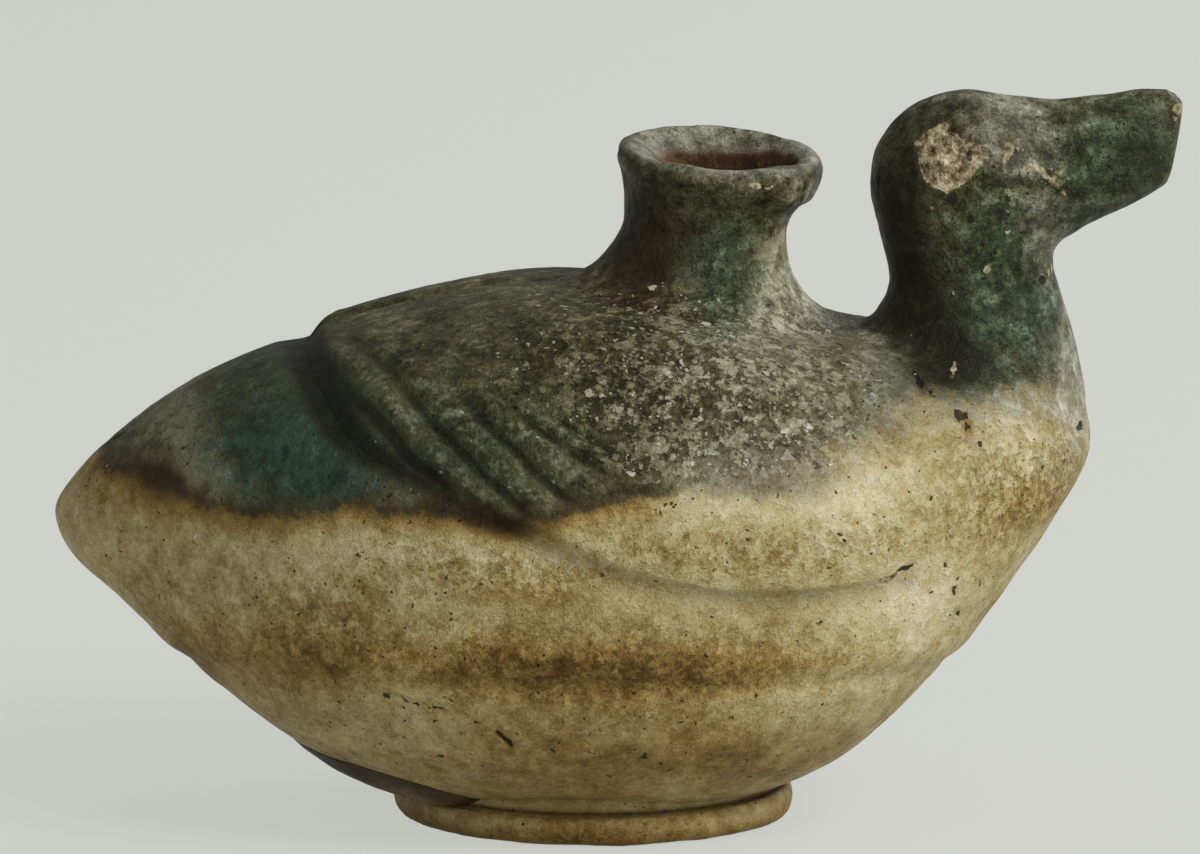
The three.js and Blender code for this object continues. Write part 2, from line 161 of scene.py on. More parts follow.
def edge_distance(points):
    """Distance of points on either side from the wing's free edge, and where along it is nearest."""
    t = np.linspace(0, len(WING_EDGE_X) - 1, EDGE_POINTS)
    line = body_point(station_of(along(WING_EDGE_X, t)), np.radians(180 - along(WING_EDGE_ANGLE, t)))
    near = points * [1, -1, 1]
    near[..., 1] = -np.abs(points[..., 1])
    flat = near.reshape(-1, 3)
    distance = np.empty(len(flat))
    place = np.empty(len(flat))
    for part in np.array_split(np.arange(len(flat)), 1 + len(flat) // POINTS_AT_A_TIME):
        gaps = np.linalg.norm(flat[part, None] - line[None], axis=-1)
        distance[part] = gaps.min(axis=1)
        place[part] = gaps.argmin(axis=1) / (len(line) - 1)
    return distance.reshape(points.shape[:-1]), place.reshape(points.shape[:-1])


JOINT_MIDDLE_Z = 24
JOINT_END_Z = 18
JOINT_REACH = 90


def joint_height(x):
    """The joint between bowl and upper body: a parabola in side view."""
    return JOINT_END_Z + (JOINT_MIDDLE_Z - JOINT_END_Z) * (1 - (x / JOINT_REACH) ** 2)


# Marks seen on the right side: x and z of the middle, half length, half width, tilt in degrees, depth.
MARKS = [
    [37.2, 38.7, 1.3, 0.25, 22, 0.35], [42.8, 38.4, 0.6, 0.4, 90, 0.4], [43.9, 35, 0.7, 0.4, 80, 0.45],
    [44.4, 31, 1.1, 0.3, 85, 0.35], [-30.3, 22.6, 1, 0.35, -15, 0.35], [-28.3, 22.2, 0.9, 0.3, -20, 0.3],
    [-26.7, 21.6, 0.7, 0.3, -30, 0.3], [-23.4, 20.9, 0.8, 0.35, -10, 0.3],
    [-15.2, 17.2, 1.1, 0.4, -40, 0.45], [-14.2, 16.2, 0.7, 0.4, -60, 0.4],
    [44.8, 57.3, 0.8, 0.5, -40, 0.6], [45.6, 55.9, 0.6, 0.4, -60, 0.5], [47.2, 53.6, 0.5, 0.3, -70, 0.35],
    [39.3, 61.5, 1.1, 0.35, -50, 0.4], [40.9, 60.1, 0.6, 0.3, -50, 0.35], [61, 53, 0.7, 0.5, 80, 0.4],
    [56.1, 72.6, 0.6, 0.5, 90, 0.35], [8.5, 44.5, 0.5, 0.3, 40, 0.25], [28.6, 44, 0.5, 0.3, -40, 0.25],
    [14.6, 19.8, 0.6, 0.35, 20, 0.3], [3.4, 14.6, 0.5, 0.4, 60, 0.3],
]
# Raised flecks bare of glaze, in the same terms, with the height in place of the depth.
FLECKS = [
    [34.9, 37.6, 1.5, 0.55, 22, 0.12], [-14.5, 20.6, 0.6, 0.35, 60, 0.12],
    [51.3, 90.3, 1.6, 0.6, 80, 0.14], [55.8, 87.4, 2, 0.42, -42, 0.2], [58, 85.4, 1.5, 0.42, -42, 0.2],
    [58.1, 87, 1, 0.38, 62, 0.2], [48.8, 74.8, 0.9, 0.6, 50, 0.12], [44.1, 62.5, 0.9, 0.35, 85, 0.12],
    [57.2, 73.6, 0.8, 0.4, 70, 0.12], [41.4, 82.6, 0.5, 0.4, 0, 0.1], [17.9, 86.4, 0.8, 0.35, -20, 0.12],
    [19.6, 86.1, 0.6, 0.35, 10, 0.12], [15, 86.6, 0.6, 0.35, -30, 0.12], [74, 94.8, 1.3, 0.8, 60, 0.1],
]


FRAY = 0.35
FRAY_SIZE = 1.3


def marked(points, places):
    """Depth at each point of tilted ovals with soft, frayed rims, on the right side only."""
    x = points[..., 0] + FRAY * noise(points, FRAY_SIZE)
    z = points[..., 2] + FRAY * noise(points + 70, FRAY_SIZE)
    total = 0 * x
    for middle_x, middle_z, length, width, tilt, depth in places:
        cosine, sine = np.cos(np.radians(tilt)), np.sin(np.radians(tilt))
        u = ((x - middle_x) * cosine + (z - middle_z) * sine) / length
        v = ((z - middle_z) * cosine - (x - middle_x) * sine) / width
        total = np.maximum(total, depth * ease(1.3, 0.7, np.hypot(u, v)))
    return total * (points[..., 1] < 0)


SEAM_SWELL = 0.35
SEAM_DIP = 0.3
FURROW_WIDTH = 2.6
FURROW_DEPTH = 0.6
FURROW_RISES = 0.15  # how much shallower the furrow is at its front end


def body_relief(points):
    """Relief of the skin: hand marks, a slack seam at the joint and a furrow along the wing's edge."""
    seam = points[..., 2] - joint_height(points[..., 0])
    slack = SEAM_SWELL * bell(seam, 3.2, 2.2) - SEAM_DIP * bell(seam, 0.4, 1.3)
    distance, place = edge_distance(points)
    furrow = bell(distance, 0, FURROW_WIDTH) * (FURROW_DEPTH - FURROW_RISES * place)
    return hand_relief(points) + slack - furrow - marked(points, MARKS) + marked(points, FLECKS)


def even_rows(outline, step):
    """Row positions that divide a line through these points into even steps, in numbers of its points."""
    lengths = np.linalg.norm(np.diff(outline, axis=0), axis=-1)
    travelled = np.concatenate([[0], np.cumsum(lengths)])
    count = max(round(travelled[-1] / step), 2)
    return np.interp(np.linspace(0, travelled[-1], count + 1), travelled, np.arange(len(outline)))


def add_object(name, data):
    """Object with this data, in the scene."""
    thing = bpy.data.objects.new(name, data)
    bpy.context.scene.collection.objects.link(thing)
    return thing


def store_share(mesh, zone, share):
    """Stores a number for each point of the mesh under the zone's name."""
    mesh.attributes.new(zone, "FLOAT", "POINT").data.foreach_set("value", share.astype(np.float32))


def closed_mesh(rings, endless=False, stored=()):
    """Closed mesh of rings of points, each joined round and to the next, with points at one place welded."""
    rings = np.concatenate([rings, rings[:, :1]], axis=1)
    if endless:
        rings = np.concatenate([rings, rings[:1]])
    rows, columns = rings.shape[:2]
    corner = (np.arange(rows - 1)[:, None] * columns + np.arange(columns - 1)).ravel()
    beside, below, beyond = corner + 1, corner + columns, corner + columns + 1
    faces = np.concatenate([np.stack([corner, beside, beyond], -1), np.stack([corner, beyond, below], -1)])
    points = rings.reshape(-1, 3)
    place = np.round(points / WELD).astype(np.int64)
    _, first, number = np.unique(place, axis=0, return_index=True, return_inverse=True)
    points, faces = points[first], number.reshape(-1)[faces]
    whole = (faces[:, 0] != faces[:, 1]) & (faces[:, 1] != faces[:, 2]) & (faces[:, 2] != faces[:, 0])
    faces = faces[whole]
    a, b, c = (points[faces[:, k]] for k in range(3))
    if np.einsum("ij,ij->", a, np.cross(b, c)) < 0:
        faces = faces[:, ::-1]
    mesh = bpy.data.meshes.new("form")
    mesh.from_pydata(points * MM, [], faces)
    for zone, share in dict(stored).items():
        store_share(mesh, zone, np.concatenate([share, share[:, :1]], axis=1).ravel()[first])
    return add_object("form", mesh)


def capped(rings):
    """The rings with both ends closed by their middle points."""
    middles = 0 * rings + rings.mean(axis=1, keepdims=True)
    return np.concatenate([middles[:1], rings, middles[-1:]])


def carve(piece, *tools):
    """Cuts a piece with other closed forms in turn, which are used up."""
    for operation, tool in tools:
        step = piece.modifiers.new(operation, "BOOLEAN")
        step.operation = operation
        step.solver = "MANIFOLD"
        step.object = tool
    carved = bpy.data.meshes.new_from_object(piece.evaluated_get(bpy.context.evaluated_depsgraph_get()))
    piece.modifiers.clear()
    piece.data = carved
    for tool in {tool for _, tool in tools}:
        bpy.data.objects.remove(tool)


# The line on the flank where the dark copper glaze ends over the ochre one.
GLAZE_LINE_X = [-76, -69, -60, -55, -48, -38, -22, -13, -7, -2, 4, 10, 18, 27, 33, 37, 43, 50, 58, 64]
GLAZE_LINE_Z = [
    49, 49, 47, 45, 45.4, 46.4, 47.6, 46.3, 47.4, 48, 48.8, 50.1, 52.2, 54.3, 57, 58.9, 59, 58.4, 57.8, 57.8,
]


def spot(points, place, reach):
    """1 at a place seen from the side (x, z), falling as a bell curve over this reach along x and z."""
    x = (points[..., 0] - place[0]) / reach[0]
    z = (points[..., 2] - place[1]) / reach[1]
    return np.exp(-x ** 2 - z ** 2)


def spots(points, places):
    """Sum of spots: share, x and z of the middle, and reach along x and z."""
    return sum(share * spot(points, (x, z), (wide, high)) for share, x, z, wide, high in places)


# Where each tone of the glaze lies, as spots. Some pale spots are painted light and some dark ones painted
# shade, as said at their tones.
SPOTS = {
    "teal": [[1, -44, 53, 14, 7], [0.7, -37, 50, 5, 4], [0.5, 35, 61, 5, 3], [0.6, 59, 68, 7, 9],
        [0.4, 14, 54, 5, 3]],
    "leaf": [[0.9, 14, 75, 6, 8], [1, 52, 72, 12, 16], [1, 66, 90, 8, 9], [0.6, -18, 55, 16, 9],
        [0.8, -44, 60, 14, 8]],
    # Narrow bloom spots down the fronts of both necks are painted light on their lit side.
    "bloom": [[1, 27, 65, 9, 6], [1, 22, 54, 9, 3.5], [0.5, 15, 60, 10, 8], [0.8, 35, 60, 6, 4],
        [1, 22.5, 73, 3.5, 9], [0.7, -58, 56, 9, 4], [0.7, 13, 70, 9, 4], [0.6, 10, 53, 8, 3],
        [0.4, -36, 52, 8, 6], [0.9, 59, 70, 3.5, 10], [0.5, 13, 76, 4, 8], [0.6, -55, 50, 8, 4]],
    "flaky": [[0.7, 3, 67, 9, 5], [0.8, 14, 64, 9, 7], [1, 19, 54, 11, 4.5], [0.5, 28, 63, 9, 6],
        [0.4, -8, 66, 13, 6], [0.6, 4, 57, 8, 5], [0.45, 54, 88, 8, 8], [0.3, -18, 56, 16, 8]],
    # Narrow ash spots down the fronts of both necks are painted light on their lit side.
    "ash": [[0.35, -69, 43, 7, 8], [0.5, 47, 97, 12, 2], [0.5, 34, 63, 6, 2.5], [1, 52, 92, 6, 4],
        [0.4, 56, 84, 4, 4], [0.6, 61, 66, 3, 8], [0.8, 56.5, 77, 3.5, 5], [0.5, 24, 76, 3, 9],
        [0.6, 20, 50, 9, 3], [0.6, 61, 53, 5, 8], [0.3, 45, 50, 14, 8]],
    # Cream: paler ochre; the broad spot on the shoulders is partly painted highlight.
    "cream": [[1, 22, 48, 20, 4], [0.4, 50, 54, 9, 5], [0.9, 38, 34, 12, 8], [0.5, -18, 42.5, 14, 2.5],
        [0.3, -18, 15, 8, 3], [0.4, 26, 19, 12, 4], [0.4, -50, 41, 18, 4], [0.4, -30, 24, 6, 4],
        [0.4, 20, 22, 12, 3], [0.5, -53, 29, 6, 4]],
    "brown": [[0.9, -8, 26.5, 31, 3.2], [0.3, -4, 24, 30, 10], [0.45, 56, 45, 8, 5],
        [0.45, -44, 28, 14, 7], [0.6, 4, 12, 30, 6], [0.7, -18, 48.5, 12, 2], [0.3, -62, 43, 10, 4],
        [0.4, -12, 38, 9, 3], [0.7, -55, 24, 6, 6], [1, -62, 47, 6, 4], [0.6, 35, 71, 5, 4]],
    # Dark: sooty glaze, and painted shade down the left sides of both necks, round their roots, behind the
    # wing's edge and above the foot pad.
    "dark": [[0.7, -61, 47, 4, 2.6], [0.75, 46, 64, 3.5, 4], [0.5, 3, 74, 6, 4], [0.9, 41, 66.5, 6, 8],
        [0.9, 33, 66.5, 7, 1.8], [0.45, -26, 53.5, 6, 4], [0.95, 37.5, 81, 4.5, 13],
        [0.5, 43, 94.5, 6, 2.5], [0.4, 49, 79, 3, 3], [0.7, 2, 80, 6, 9], [0.4, 11, 81, 6, 8],
        [0.7, -36, 10, 7, 2], [0.5, -38, 60, 5, 6], [0.6, 70, 89, 8, 9]],
    "crust": [[1, 52, 48, 9, 6], [0.6, 24, 42, 22, 3], [0.8, -16, 40, 16, 3], [0.5, -4, 27, 34, 5],
        [0.5, -40, 34, 14, 5], [0.7, 4, 62, 26, 10]],
}


WANDER = [(1.5, 8), (0.7, 2)]  # how far the tones' edges wander, over what distance
LINE_BLUR = 1.8
DARK_RIM = (0.2, 1.5)  # height above the glaze line, and width
BROWN_STAIN = (-0.4, 1.9)
THIN_GLAZE = (-1, 3)
EDGE_SHADE = 3.8  # width of the painted shadow behind the wing's raised edge
EDGE_NARROWS = 1.4
# width of the painted shade in the furrow along the wing's edge
GROOVE_SHADE = 2.2
FLECK_GAIN = 6  # these turn heights and depths in mm into shares
MARK_GAIN = 3


def glaze_zones(points):
    """Share of each glaze tone by place on the vessel, with edges that wander."""
    wander = points + np.stack([
        sum(far * noise(points + k, distance) for far, distance in WANDER) for k in (30, 60, 90)], -1)
    x, z = wander[..., 0], wander[..., 2]
    above = z - np.interp(x, GLAZE_LINE_X, GLAZE_LINE_Z)
    blur = LINE_BLUR + ease(2, 14, x) + LINE_BLUR * ease(34, 44, x)
    green = ease(-1, 1, above / blur)
    rim = bell(above, *DARK_RIM) * ease(8, -12, x)
    stain = bell(above, *BROWN_STAIN) * ease(16, 0, x)
    thin = bell(above, *THIN_GLAZE) * ease(2, 16, x)
    # Painted shadow behind the wing's raised rear edge, and painted shade in the furrow along its whole free
    # edge.
    distance, place = edge_distance(points)
    edge = bell(distance, 0, EDGE_SHADE - EDGE_NARROWS * ease(0, 0.25, place))
    edge = edge * ease(0.6, 0.3, place) * ease(44, 48, z)
    zones = {tone: spots(wander, places) for tone, places in SPOTS.items()}
    zones["teal"] = zones["teal"] * green
    zones["flaky"] = zones["flaky"] * ease(-4, 0, above)
    zones["ash"] += 0.5 * thin
    zones["brown"] += 0.55 * stain
    zones["dark"] = zones["dark"] + 0.75 * edge + 0.5 * rim + 0.4 * bell(distance, 0, GROOVE_SHADE)
    loss, gash = FLECK_GAIN * marked(points, FLECKS), MARK_GAIN * marked(points, MARKS)
    return zones | {"green": green, "loss": loss, "gash": gash, "rust": 0 * green}


def paint_zones(piece, **own):
    """Stores each tone's share on the mesh. A piece's own zones, shares or functions, replace the common."""
    mesh = piece.data
    flat = np.empty(len(mesh.vertices) * 3, np.float32)
    mesh.vertices.foreach_get("co", flat)
    points = flat.reshape(-1, 3).astype(float) / MM
    zones = glaze_zones(points)
    for name, zone in own.items():
        zones[name] = zone(points) if callable(zone) else zone + 0 * points[:, 0]
    for name, share in zones.items():
        store_share(mesh, name, np.clip(share, 0, 1))


def linear(code):
    """Linear colour of a six-digit web colour."""
    srgb = np.array([int(code[k:k + 2], 16) for k in (1, 3, 5)]) / 255
    return (*np.where(srgb < 0.04045, srgb / 12.92, ((srgb + 0.055) / 1.055) ** 2.4), 1)


class Signal:
    """A value in a material. Sums, differences and products of signals put Math nodes into its tree."""

    def __init__(self, socket):
        self.socket = socket

    def maths(self, operation, second):
        node = put(self.socket.id_data, "Math", {"operation": operation}, _0=self, _1=second)
        return Signal(node.outputs[0])

    __add__ = __radd__ = partialmethod(maths, "ADD")
    __sub__ = partialmethod(maths, "SUBTRACT")
    __mul__ = __rmul__ = partialmethod(maths, "MULTIPLY")

    def __rsub__(self, first):
        return self * -1 + first


def put(tree, kind, settings=(), **inputs):
    """Adds a shader node with its settings, and sets or links its inputs by name, with _ for a space."""
    node = tree.nodes.new("ShaderNode" + kind)
    for name, value in dict(settings).items():
        setattr(node, name, value)
    for name, value in inputs.items():
        socket = node.inputs[int(name[1:]) if name[0] == "_" else name.replace("_", " ")]
        value = value.socket if isinstance(value, Signal) else value
        if isinstance(value, bpy.types.NodeSocket):
            tree.links.new(value, socket)
        else:
            socket.default_value = value
    return node


def blend(share, first, second):
    """Colour that goes from the first to the second with the share."""
    tree = share.socket.id_data
    return put(tree, "Mix", {"data_type": "RGBA"}, _0=share, _6=first, _7=second).outputs[2]


def between(value, low, high, to_low=0, to_high=1):
    """Value carried smoothly from one range to another and held at its ends."""
    return Signal(put(value.socket.id_data, "MapRange", {"interpolation_type": "SMOOTHSTEP"}, Value=value,
                      From_Min=low, From_Max=high, To_Min=to_low, To_Max=to_high).outputs[0])


def tone(value, stops):
    """Colour ramp with these stops: colours by position."""
    node = put(value.socket.id_data, "ValToRGB", Fac=value)
    ramp = node.color_ramp
    while len(ramp.elements) < len(stops):
        ramp.elements.new(0.5)
    for element, (position, code) in zip(ramp.elements, stops.items()):
        element.position = position
        element.color = linear(code)
    return node.outputs[0]


OCHRE_TONES = {0: "#32240a", 0.25: "#614b20", 0.45: "#8f7946", 0.62: "#b0a070", 0.8: "#cabf98", 1: "#e4dcc2"}
BROWN_TONES = {0: "#2f2008", 0.25: "#5f471d", 0.45: "#8f733c", 0.62: "#b39b64", 0.8: "#cdbc90", 1: "#e5dbc1"}
OLIVE_TONES = {0: "#110f06", 0.3: "#2d2915", 0.52: "#514e31", 0.76: "#848063", 1: "#b5b098"}
LEAF_TONES = {0: "#0b1007", 0.3: "#1d2615", 0.55: "#3b472d", 0.8: "#6a785a", 1: "#9aa68d"}
TEAL_TONES = {0: "#0d1914", 0.35: "#213228", 0.6: "#3c5140", 1: "#90a896"}
ASH_TONES = {0: "#2f2d20", 0.4: "#66634f", 0.65: "#93907d", 1: "#c6c3b3"}
BARE_TONES = {0.1: "#3a2f1b", 0.4: "#7d7052", 0.7: "#aca080", 1: "#d8ceb2"}
RUST_TONES = {0.1: "#150d06", 0.45: "#3e2a18", 0.7: "#6e5038", 1: "#a38769"}
UMBER_TONES = {0: "#120d04", 0.3: "#322412", 0.55: "#594526", 0.8: "#84734e", 1: "#b0a283"}
CHIP_TONES = {0.1: "#77725a", 0.5: "#a9a389", 0.95: "#dad5c2"}


DARK_WARM = "#231a08"
DARK_COOL = "#18170d"
HOLLOW_TONE = "#221503"
FLAKE_SHADE = "#181206"
GROOVE_TONE = "#12120a"
CREST_TONE = "#8d8b71"
SMEAR = 0.0014  # how far scattered cells are pulled out of shape, in metres
SHADE_SHIFT = (0.00028, 0, 0.00034)
NICKS = (620, 0.04, 0.2)  # cells per metre, share of the cells chosen, and size
PITS = (1500, 0.1, 0.3)
LARGE_FLAKES = 600
SMALL_FLAKES = 1250
FLAKE_CHANCE = (0.001, 0.62)
FLAKE_SIZE = 0.34
SHADE_SIZE = 0.41
RELIEF_DEPTH = 0.0004
SHINE = 0.14


def bare_material(name):
    """New material and its empty node tree."""
    material = bpy.data.materials.new(name)
    material.use_nodes = True
    material.node_tree.nodes.clear()
    return material, material.node_tree


def glaze_material(name, ochre=OCHRE_TONES, rough=0.5, mottled=1):
    """Old lead glaze: stored zones choose its tone, noise mottles it, and cells make pits and flakes."""
    material, tree = bare_material(name)
    place = put(tree, "TexCoord").outputs["Object"]

    def zone(which):
        return Signal(put(tree, "Attribute", {"attribute_name": which}).outputs["Fac"])

    def cloud(scale, detail, roughness=0.6):
        node = put(tree, "TexNoise", Vector=place, Scale=scale, Detail=detail, Roughness=roughness)
        return Signal(node.outputs[0]) - 0.5

    # Unrest of the glaze, from broad drift to fine grain, with a crust of small scales.
    drift = cloud(90, 3)
    mottle = cloud(380, 4, 0.62)
    grit = cloud(1150, 3)
    grain = cloud(3200, 2)
    green, bloom, brown, cream, rust = (zone(name) for name in ("green", "bloom", "brown", "cream", "rust"))
    flaky = between(zone("flaky") + 0.9 * mottle, 0, 1)
    crust = 0.25 + 0.55 * zone("crust") + 0.3 * flaky + 0.1 * green
    scales = (between(cloud(500, 4, 0.66), -0.03, 0.03) - 0.5) * crust
    rough_tone = grit * crust + 0.35 * grain + scales * (0.18 + 0.12 * flaky)
    unrest = 0.5 * mottle + 0.45 * drift + 1.1 * rough_tone

    # Ochre glaze, which goes to brown and to cream in places; the cream on the shoulders is partly painted
    # highlight.
    warmth = unrest + 0.57 + 0.23 * cream - 0.24 * brown
    warm = blend(between(brown + 0.8 * mottle, 0, 0.7), tone(warmth, ochre), tone(warmth, BROWN_TONES))

    # Green glaze over it: olive with leaf green, teal and umber clouds.
    level = 0.7 * mottled * mottle + 0.6 * drift + 0.9 * mottled * rough_tone + 0.47
    # Bloom lightens the olive; down the necks' fronts this is painted light.
    cold = tone(level + 0.27 * bloom, OLIVE_TONES)
    cold = blend(between(zone("leaf") + 1.2 * mottle, 0.1, 0.9), cold, tone(level, LEAF_TONES))
    cold = blend(between(zone("teal") + 1.2 * mottle, 0.15, 0.95), cold, tone(level, TEAL_TONES))
    umber = between(cloud(330, 4, 0.66) + 0.5 * grit + 0.5 * brown, 0.04, 0.36)
    cold = blend(0.5 * umber, cold, tone(level, UMBER_TONES))
    covered = between(green + 0.7 * mottle + 1.1 * grit, 0.2, 0.8)
    colour = blend(covered, warm, cold)

    # Ashen places, which down the necks' fronts are painted light, and dark places: soot, and painted shade
    # in creases, behind the wing's edge and down the necks' left sides.
    ash = between(zone("ash") + 0.9 * mottle, 0.15, 0.95)
    colour = blend(0.85 * ash, colour, tone(level + 0.06, ASH_TONES))
    dark = between(zone("dark") + 0.7 * mottle + 0.6 * grit, 0.08, 1)
    soot_and_shade = blend(covered * (1 - brown), linear(DARK_WARM), linear(DARK_COOL))
    colour = blend(0.88 * dark, colour, soot_and_shade)

    # Nicks, pits and gashes.
    jitter = put(tree, "TexNoise", Vector=place, Scale=1100, Detail=2).outputs[1]
    smear = put(tree, "VectorMath", {"operation": "MULTIPLY_ADD"},
                _0=jitter, _1=(SMEAR,) * 3, _2=place).outputs[0]

    def scattered(scale, chance, size, at=smear):
        cells = put(tree, "TexVoronoi", Vector=at, Scale=scale).outputs
        pick = put(tree, "SeparateColor", Color=cells["Color"]).outputs
        chosen = Signal(pick[0]).maths("LESS_THAN", chance)
        left_over = (Signal(pick[1]) + 0.3) * size - cells["Distance"]
        return chosen * between(left_over, 0, 0.07), Signal(pick[2])

    nicks, _ = scattered(*NICKS)
    pits, _ = scattered(*PITS)
    gash = between(zone("gash") + 0.6 * mottle + 1.2 * grit, 0.5, 0.75)
    hollows = nicks.maths("MAXIMUM", pits).maths("MAXIMUM", gash)
    colour = blend(0.9 * hollows, colour, linear(HOLLOW_TONE))

    # Pale flakes, their paleness partly painted glints, the large ones with a painted shadow beside them.
    chance = between(flaky, 0, 1, *FLAKE_CHANCE)
    beside = put(tree, "VectorMath", {"operation": "ADD"}, _0=smear, _1=SHADE_SHIFT).outputs[0]
    large, shine = scattered(LARGE_FLAKES, 0.85 * chance, FLAKE_SIZE)
    shade, _ = scattered(LARGE_FLAKES, chance, SHADE_SIZE, beside)
    small, _ = scattered(SMALL_FLAKES, 1.1 * chance, FLAKE_SIZE)
    pale = large.maths("MAXIMUM", small)
    colour = blend(0.62 * shade, colour, linear(FLAKE_SHADE))
    shine = 0.7 * shine + grit + 0.2 * bloom + 0.1
    colour = blend(0.75 * pale, colour, tone(shine, CHIP_TONES))

    # Grooves of the feathers darkened with dirt and painted shade, crests paled with wear and painted
    # highlight, flecks bare of glaze, and rusty clay in the bore.
    colour = blend(0.8 * between(zone("furrow") + 0.8 * grit, 0.1, 0.95), colour, linear(GROOVE_TONE))
    crest = zone("crest") * between(mottle + grit, -0.1, 0.25)
    colour = blend(0.5 * crest, colour, linear(CREST_TONE))
    loss = between(zone("loss") + 0.6 * mottle + 0.7 * grit, 0.38, 0.58)
    colour = blend(loss, colour, tone(1.2 * mottle + 2 * grit + 0.52, BARE_TONES))
    colour = blend(rust, colour, tone(unrest + 0.3 * cream + 0.42, RUST_TONES))

    # Fine relief and shine.
    height = 0.6 * mottle + 1.3 * rough_tone + 0.35 * scales + 0.35 * pale - 0.5 * hollows
    height = height + loss * (1.5 * grit - 0.2)
    relief = put(tree, "Bump", Strength=1, Distance=RELIEF_DEPTH, Height=height).outputs[0]
    gloss = rough - 0.3 * unrest - 0.12 * pale + 0.3 * loss + 0.3 * rust
    shader = put(tree, "BsdfPrincipled", Base_Color=colour, Roughness=gloss, Normal=relief)
    shader.inputs["Specular IOR Level"].default_value = SHINE
    put(tree, "OutputMaterial", Surface=shader.outputs[0])
    return material


ROW_STEP = 0.57
BODY_SIDES = 420
OUTLINE_POINTS = 1200
WALL = 4
HALF_HEIGHT = 35.8
CAVITY_ROWS = 60
CAVITY_SIDES = 72
CAVITY_MIDDLE = [MIDDLE_X, 0, 37]
CAVITY_SHRINK = 1 - WALL / np.array([HALF_LENGTH / 2, max(HALF_WIDTH), HALF_HEIGHT])
CAVITY_SHIFT = [1, 0, 0]
BLOCK_REACH = 60  # half width and depth of the block that parts the bowl from the upper body
BLOCK_POINTS = 61
SHARP_DEGREES = 65


def full_turn(count):
    """Angles of a full turn in even steps."""
    return np.linspace(0, 2 * np.pi, count, endpoint=False)


def body_skin():
    """The outside of the body: sections at even steps along its widest line, moved out by the relief."""
    fine = np.linspace(0, STATIONS, OUTLINE_POINTS)
    profile = np.stack([body_point(fine, 0 * fine)[:, 0], along(HALF_WIDTH, fine)], -1)
    stations = fine[-1] * even_rows(profile, ROW_STEP)[:, None] / (len(fine) - 1)
    angles = full_turn(BODY_SIDES)[None] + 0 * stations
    stations = stations + 0 * angles
    points = body_point(stations, angles)
    return closed_mesh(points + body_normal(stations, angles) * body_relief(points)[..., None])


def body_hollow():
    """The hollow inside: the body form shrunk about its middle."""
    stations = np.linspace(0, STATIONS, CAVITY_ROWS)[:, None]
    points = body_point(stations, full_turn(CAVITY_SIDES)[None] + 0 * stations)
    return closed_mesh((points - CAVITY_MIDDLE) * CAVITY_SHRINK + CAVITY_MIDDLE + CAVITY_SHIFT)


def below_joint():
    """Block of everything under the joint: its top follows the joint's parabola."""
    x = np.linspace(-JOINT_REACH, JOINT_REACH, BLOCK_POINTS)
    low, high = 0 * x - BLOCK_REACH, joint_height(x)
    sides = [(low, low), (-low, low), (-low, high), (low, high)]
    rings = np.stack([np.stack([x, y, z], -1) for y, z in sides], 1)
    return closed_mesh(capped(rings))


def finish_piece(piece, node, slot, material, **own):
    """Smooth shading with sharp rims, the glaze zones, the material, and the piece's place in the part."""
    piece.name = piece.data.name = node + "_glazed"
    piece.data.shade_smooth()
    piece.data.set_sharp_from_angle(angle=np.radians(SHARP_DEGREES))
    paint_zones(piece, **own)
    piece.data.materials.clear()
    piece.data.materials.append(material)
    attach(piece, "root")
    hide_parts(node)


ochre_glaze = glaze_material("worn_ochre_glaze")
lower_bowl = body_skin()
carve(lower_bowl, ("INTERSECT", below_joint()), ("DIFFERENCE", body_hollow()))
finish_piece(lower_bowl, "lower_bowl", "ochre_glaze", ochre_glaze)

# Upper body: back, flanks, tail and breast, a second shell of the same clay closed over the bowl.
# It is opened under the filling neck and under the duck's neck, and carries both and the wings.
MOUTH_X = 11.2
BORE_RADIUS = 8
HOLE_EASE = 0.4
DUCK_BORE = [54.6, 38.6, 6.5]  # front, rear and half width
HOLE_SIDES = 64
HOLE_LEVELS = (50, 100)


def upright_hole(front, rear, width):
    """Oval column to cut through the back with."""
    turn = full_turn(HOLE_SIDES)
    x = (front + rear) / 2 + (front - rear) / 2 * np.cos(turn)
    oval = np.stack([x, width * np.sin(turn), 0 * turn], -1)
    return closed_mesh(capped(np.array([oval + [0, 0, level] for level in HOLE_LEVELS])))


hole_radius = BORE_RADIUS + HOLE_EASE
mouth_hole = (MOUTH_X + hole_radius, MOUTH_X - hole_radius, hole_radius)
upper_body = body_skin()
carve(upper_body, ("DIFFERENCE", below_joint()), ("DIFFERENCE", body_hollow()),
      ("DIFFERENCE", upright_hole(*mouth_hole)), ("DIFFERENCE", upright_hole(*DUCK_BORE)))
finish_piece(upper_body, "upper_body", "ochre_glaze", ochre_glaze)

# Ring foot: a turned foot ring with a flat underside, stuck under the belly.
# The same clay under an olive-brown glaze, worn thin along its edge where the vessel was set down.
FOOT_X = -3.4
FOOT_STEP = 0.4
FOOT_SIDES = 400
FOOT_UNREST = 0.8
WIDEST_RINGS = 5
PROFILE_POINTS = 60  # per row of a turned profile
FOOT_TONES = {0: "#2f210b", 0.3: "#5f481f", 0.55: "#8c7341", 0.8: "#ac9762", 1: "#cbbd92"}
foot_belly = float(body_height(FOOT_X, 0, False))
FOOT_PROFILE = [  # radius, height, share of the belly's slope that it follows
    [20.5, 0], [23, 0], [25, 0], [26.1, 0.5], [26.6, 1.8], [26.5, 3.1], [25.9, 3.9], [25.1, 4.15],
    [25, 4.7, 0.15], [24.4, foot_belly + 1, 0.9], [22.5, foot_belly + 0.7, 1], [19.5, foot_belly + 0.6, 1],
    [19.4, 1.6], [19.9, 0.4],
]


